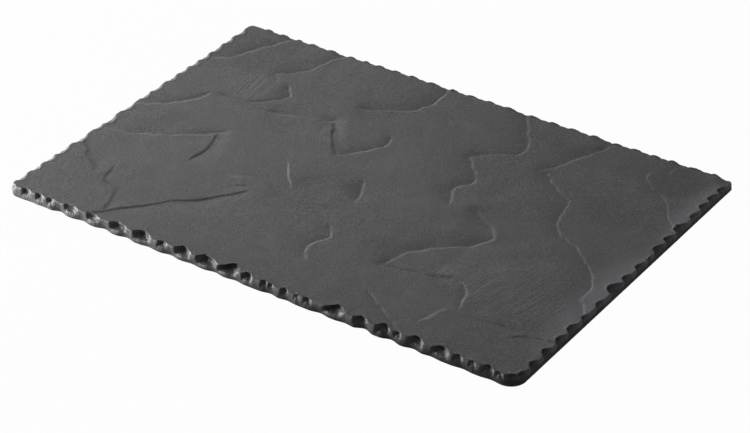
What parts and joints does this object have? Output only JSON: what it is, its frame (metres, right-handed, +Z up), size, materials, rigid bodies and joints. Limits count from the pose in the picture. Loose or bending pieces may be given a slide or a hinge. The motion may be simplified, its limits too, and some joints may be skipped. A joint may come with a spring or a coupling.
{
  "type": "rectangular serving plate",
  "caption": "Rectangular black ceramic serving plate moulded like split slate, with a cleft top, a chipped rim and low stick-on non-slip feet.",
  "frame": {"origin": "on the table, under the middle of the plate", "axes": "+X along the long side to the right, +Y to the back, +Z up"},
  "size_m": [0.3, 0.2, 0.0093],
  "materials": {
    "ceramic": "satin",
    "silicone": "matte",
    "adhesive": "satin"
  },
  "bodies": {
    "root": {"plate_body": "ceramic", "foot_front_left": "silicone", "foot_front_right": "silicone", "foot_back_left": "silicone", "foot_back_right": "silicone", "adhesive_front_left": "adhesive", "adhesive_front_right": "adhesive", "adhesive_back_left": "adhesive", "adhesive_back_right": "adhesive"}
  },
  "joints": []
}
